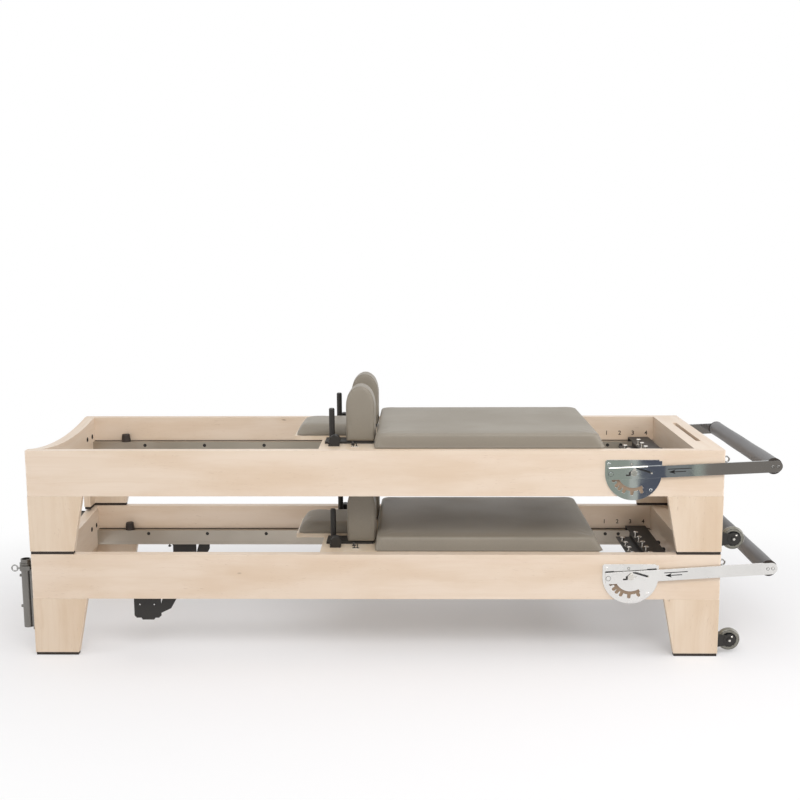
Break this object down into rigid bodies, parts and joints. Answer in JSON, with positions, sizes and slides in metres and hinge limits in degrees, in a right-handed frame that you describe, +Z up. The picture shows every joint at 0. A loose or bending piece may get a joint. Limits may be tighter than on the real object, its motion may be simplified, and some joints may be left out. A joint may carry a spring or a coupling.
{
  "type": "pilates reformer with tower",
  "caption": "Stack of equal wooden reformer beds with sliding padded carriages, shoulder rests, tilting footbars and head-end sockets for a tower.",
  "frame": {"origin": "on the floor, under the middle of the whole part", "axes": "+X along the beds towards the footbars, +Y across the beds away from the near side, +Z up"},
  "size_m": [2.6434, 0.7318, 0.9269],
  "materials": {
    "maple": "clear satin lacquer",
    "leg_maple": "clear satin lacquer",
    "black_rubber": "matte",
    "aluminium": "anodised",
    "chrome": "polished",
    "black_steel": "powder coat",
    "steel": "satin",
    "spring_steel": null,
    "foam": "closed-cell foam sleeve",
    "vinyl": "upholstery vinyl over foam",
    "tyre": "translucent grey polyurethane",
    "wheel_plastic": "moulded"
  },
  "bodies": {
    "lower_frame": {"lower_side_boards": "maple", "lower_head_board": "maple", "lower_foot_board": "maple", "lower_legs": "leg_maple", "lower_leg_pads": "black_rubber", "lower_rails": "aluminium", "lower_strap_hooks": "chrome", "lower_rail_bumpers": "black_rubber", "lower_quadrants": "chrome", "lower_wheel_brackets": "black_steel", "tower_receivers": "steel", "under_brackets": "black_steel"},
    "lower_spring_bar": {"lower_spring_bar": "black_steel", "lower_spring_hooks": "chrome"},
    "lower_near_transport_wheel": {"lower_near_wheel": "tyre"},
    "lower_far_transport_wheel": {"lower_far_wheel": "tyre"},
    "lower_footbar_pivots": {"lower_footbar_pivots": "chrome"},
    "lower_footbar": {"lower_footbar_arms": "chrome", "lower_footbar_grip": "foam"},
    "lower_carriage": {"lower_carriage_deck": "maple", "lower_undercarriage": "steel", "lower_carriage_pad": "vinyl", "lower_shoulder_fittings": "black_steel", "lower_springs": "spring_steel"},
    "lower_front_wheels": {"lower_front_wheels": "wheel_plastic"},
    "lower_rear_wheels": {"lower_rear_wheels": "wheel_plastic"},
    "lower_headrest": {"lower_headrest_board": "maple", "lower_headrest_pad": "vinyl"},
    "lower_near_shoulder_rest": {"lower_near_shoulder_rest": "vinyl"},
    "lower_far_shoulder_rest": {"lower_far_shoulder_rest": "vinyl"},
    "upper_frame": {"upper_side_boards": "maple", "upper_head_board": "maple", "upper_foot_board": "maple", "upper_legs": "leg_maple", "upper_leg_pads": "black_rubber", "upper_rails": "aluminium", "upper_strap_hooks": "chrome", "upper_rail_bumpers": "black_rubber", "upper_quadrants": "chrome", "upper_wheel_brackets": "black_steel"},
    "upper_spring_bar": {"upper_spring_bar": "black_steel", "upper_spring_hooks": "chrome"},
    "upper_near_transport_wheel": {"upper_near_wheel": "tyre"},
    "upper_far_transport_wheel": {"upper_far_wheel": "tyre"},
    "upper_footbar_pivots": {"upper_footbar_pivots": "chrome"},
    "upper_footbar": {"upper_footbar_arms": "chrome", "upper_footbar_grip": "foam"},
    "upper_carriage": {"upper_carriage_deck": "maple", "upper_undercarriage": "steel", "upper_carriage_pad": "vinyl", "upper_shoulder_fittings": "black_steel", "upper_springs": "spring_steel"},
    "upper_front_wheels": {"upper_front_wheels": "wheel_plastic"},
    "upper_rear_wheels": {"upper_rear_wheels": "wheel_plastic"},
    "upper_headrest": {"upper_headrest_board": "maple", "upper_headrest_pad": "vinyl"},
    "upper_near_shoulder_rest": {"upper_near_shoulder_rest": "vinyl"},
    "upper_far_shoulder_rest": {"upper_far_shoulder_rest": "vinyl"},
    "near_tower_pin": {"near_tower_pin": "chrome"},
    "far_tower_pin": {"far_tower_pin": "chrome"}
  },
  "joints": [
    {"name": "lower_carriage_slide", "type": "slide", "parent": "lower_frame", "child": "lower_carriage", "axis": [1, 0, 0], "range_m": [-0.817, 0]},
    {"name": "lower_front_wheel_spin", "type": "hinge", "parent": "lower_carriage", "child": "lower_front_wheels", "pos_m": [-0.2165, 0, 0.2953], "axis": [0, 1, 0], "continuous": true},
    {"name": "lower_rear_wheel_spin", "type": "hinge", "parent": "lower_carriage", "child": "lower_rear_wheels", "pos_m": [0.6635, 0, 0.2953], "axis": [0, 1, 0], "continuous": true},
    {"name": "lower_headrest_tilt", "type": "hinge", "parent": "lower_carriage", "child": "lower_headrest", "pos_m": [-0.1165, 0, 0.3628], "axis": [0, 1, 0], "range_deg": [0, 35]},
    {"name": "lower_near_rest_lift", "type": "slide", "parent": "lower_carriage", "child": "lower_near_shoulder_rest", "axis": [0, 0, 1], "range_m": [0, 0.04]},
    {"name": "lower_far_rest_lift", "type": "slide", "parent": "lower_carriage", "child": "lower_far_shoulder_rest", "axis": [0, 0, 1], "range_m": [0, 0.04]},
    {"name": "lower_spring_bar_slide", "type": "slide", "parent": "lower_frame", "child": "lower_spring_bar", "axis": [1, 0, 0], "range_m": [-0.157, 0]},
    {"name": "lower_footbar_tilt", "type": "hinge", "parent": "lower_frame", "child": "lower_footbar_pivots", "pos_m": [0.8245, 0, 0.289], "axis": [0, -1, 0], "range_deg": [0, 34.8]},
    {"name": "lower_footbar_lock", "type": "slide", "parent": "lower_footbar_pivots", "child": "lower_footbar", "axis": [0.9979, 0, 0.0645], "range_m": [-0.014, 0]},
    {"name": "lower_near_transport_spin", "type": "hinge", "parent": "lower_frame", "child": "lower_near_transport_wheel", "pos_m": [1.1805, -0.31, 0.049], "axis": [0, 1, 0], "continuous": true},
    {"name": "lower_far_transport_spin", "type": "hinge", "parent": "lower_frame", "child": "lower_far_transport_wheel", "pos_m": [1.1805, 0.31, 0.049], "axis": [0, 1, 0], "continuous": true},
    {"name": "upper_carriage_slide", "type": "slide", "parent": "upper_frame", "child": "upper_carriage", "axis": [1, 0, 0], "range_m": [-0.817, 0]},
    {"name": "upper_front_wheel_spin", "type": "hinge", "parent": "upper_carriage", "child": "upper_front_wheels", "pos_m": [-0.2165, 0, 0.6603], "axis": [0, 1, 0], "continuous": true},
    {"name": "upper_rear_wheel_spin", "type": "hinge", "parent": "upper_carriage", "child": "upper_rear_wheels", "pos_m": [0.6635, 0, 0.6603], "axis": [0, 1, 0], "continuous": true},
    {"name": "upper_headrest_tilt", "type": "hinge", "parent": "upper_carriage", "child": "upper_headrest", "pos_m": [-0.1165, 0, 0.7278], "axis": [0, 1, 0], "range_deg": [0, 35]},
    {"name": "upper_near_rest_lift", "type": "slide", "parent": "upper_carriage", "child": "upper_near_shoulder_rest", "axis": [0, 0, 1], "range_m": [0, 0.04]},
    {"name": "upper_far_rest_lift", "type": "slide", "parent": "upper_carriage", "child": "upper_far_shoulder_rest", "axis": [0, 0, 1], "range_m": [0, 0.04]},
    {"name": "upper_spring_bar_slide", "type": "slide", "parent": "upper_frame", "child": "upper_spring_bar", "axis": [1, 0, 0], "range_m": [-0.157, 0]},
    {"name": "upper_footbar_tilt", "type": "hinge", "parent": "upper_frame", "child": "upper_footbar_pivots", "pos_m": [0.8245, 0, 0.654], "axis": [0, -1, 0], "range_deg": [0, 111.3]},
    {"name": "upper_footbar_lock", "type": "slide", "parent": "upper_footbar_pivots", "child": "upper_footbar", "axis": [0.9989, 0, 0.0471], "range_m": [-0.014, 0]},
    {"name": "upper_near_transport_spin", "type": "hinge", "parent": "upper_frame", "child": "upper_near_transport_wheel", "pos_m": [1.1805, -0.31, 0.414], "axis": [0, 1, 0], "continuous": true},
    {"name": "upper_far_transport_spin", "type": "hinge", "parent": "upper_frame", "child": "upper_far_transport_wheel", "pos_m": [1.1805, 0.31, 0.414], "axis": [0, 1, 0], "continuous": true},
    {"name": "upper_unit_lift", "type": "slide", "parent": "lower_frame", "child": "upper_frame", "axis": [0, 0, 1], "range_m": [0, 0.3]},
    {"name": "near_tower_pin_pull", "type": "slide", "parent": "lower_frame", "child": "near_tower_pin", "axis": [-1, 0, 0], "range_m": [0, 0.012], "stiffness_N_per_m": 300, "springref_m": -0.003},
    {"name": "far_tower_pin_pull", "type": "slide", "parent": "lower_frame", "child": "far_tower_pin", "axis": [-1, 0, 0], "range_m": [0, 0.012], "stiffness_N_per_m": 300, "springref_m": -0.003}
  ],
  "couplings": [
    {"joint": "lower_front_wheel_spin", "follows": "lower_carriage_slide", "rad_per_m": 39.5},
    {"joint": "lower_rear_wheel_spin", "follows": "lower_carriage_slide", "rad_per_m": 39.5},
    {"joint": "upper_front_wheel_spin", "follows": "upper_carriage_slide", "rad_per_m": 39.5},
    {"joint": "upper_rear_wheel_spin", "follows": "upper_carriage_slide", "rad_per_m": 39.5}
  ]
}
